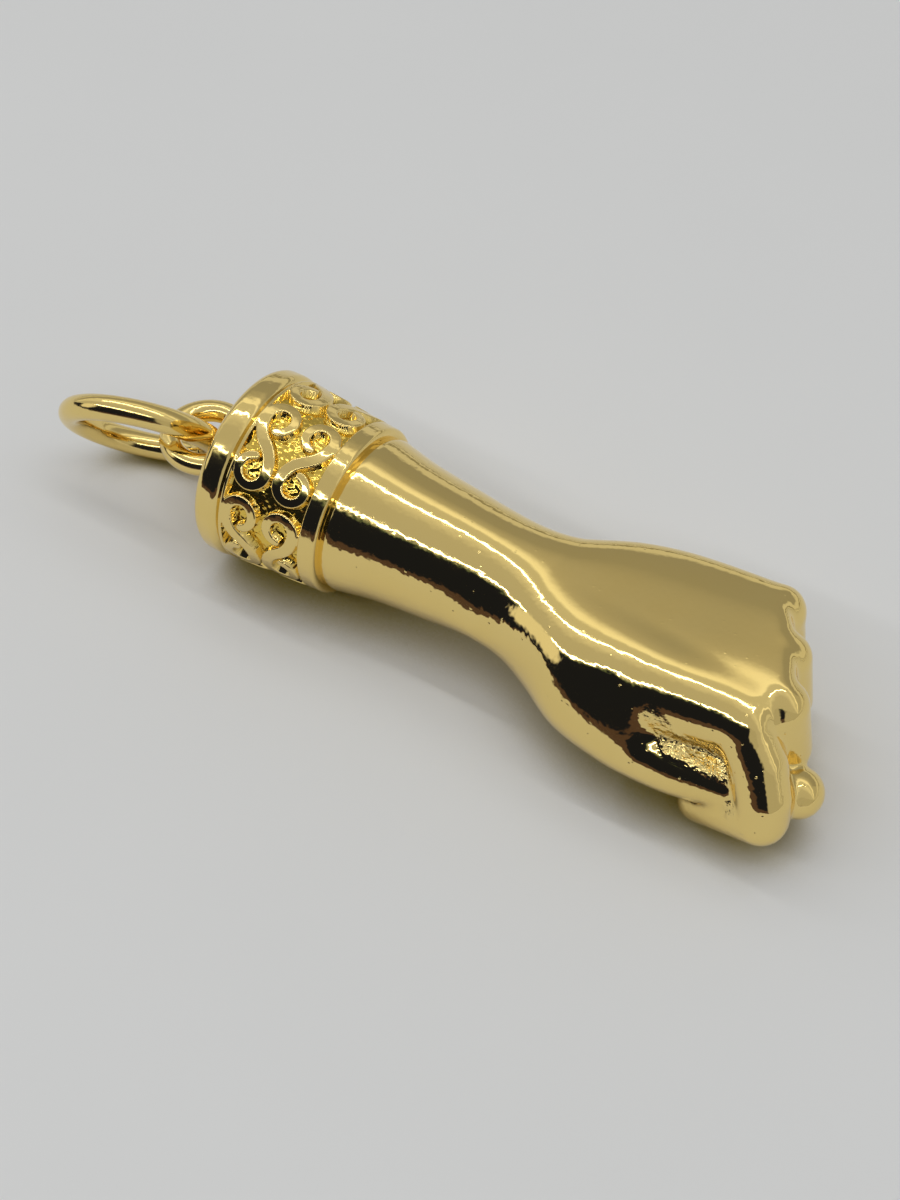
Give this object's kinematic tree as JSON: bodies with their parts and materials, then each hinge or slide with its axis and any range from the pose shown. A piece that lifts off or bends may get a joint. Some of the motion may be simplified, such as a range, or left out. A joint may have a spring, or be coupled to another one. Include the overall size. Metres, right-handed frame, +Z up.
{
  "type": "figa amulet pendant",
  "caption": "Gold plated figa pendant, a fist with the thumb between the fingers on a short forearm with a scrolled cuff, a fixed bail and a loose jump ring.",
  "frame": {"origin": "on the table under the middle of the pendant's box", "axes": "+X along the arm from the jump ring to the fist, +Y away from the thumb, +Z up from the table through the back of the hand"},
  "size_m": [0.0404, 0.01, 0.009],
  "materials": {
    "hand_gold": "mirror polished gold plate",
    "cuff_gold": "polished gold plate, deep yellow in the recesses",
    "cap_gold": "mirror polished gold plate",
    "bail_gold": "polished gold plate",
    "ring_gold": "bright drawn wire, gold plated"
  },
  "bodies": {
    "pendant": {"hand": "hand_gold", "cuff": "cuff_gold", "end_cap": "cap_gold", "bail": "bail_gold"},
    "ring": {"jump_ring": "ring_gold"}
  },
  "joints": [
    {"name": "ring_swing", "type": "hinge", "parent": "pendant", "child": "ring", "pos_m": [-0.01292, 0.00055, 0.0045], "axis": [0, 0, 1], "range_deg": [-88, 72]}
  ]
}
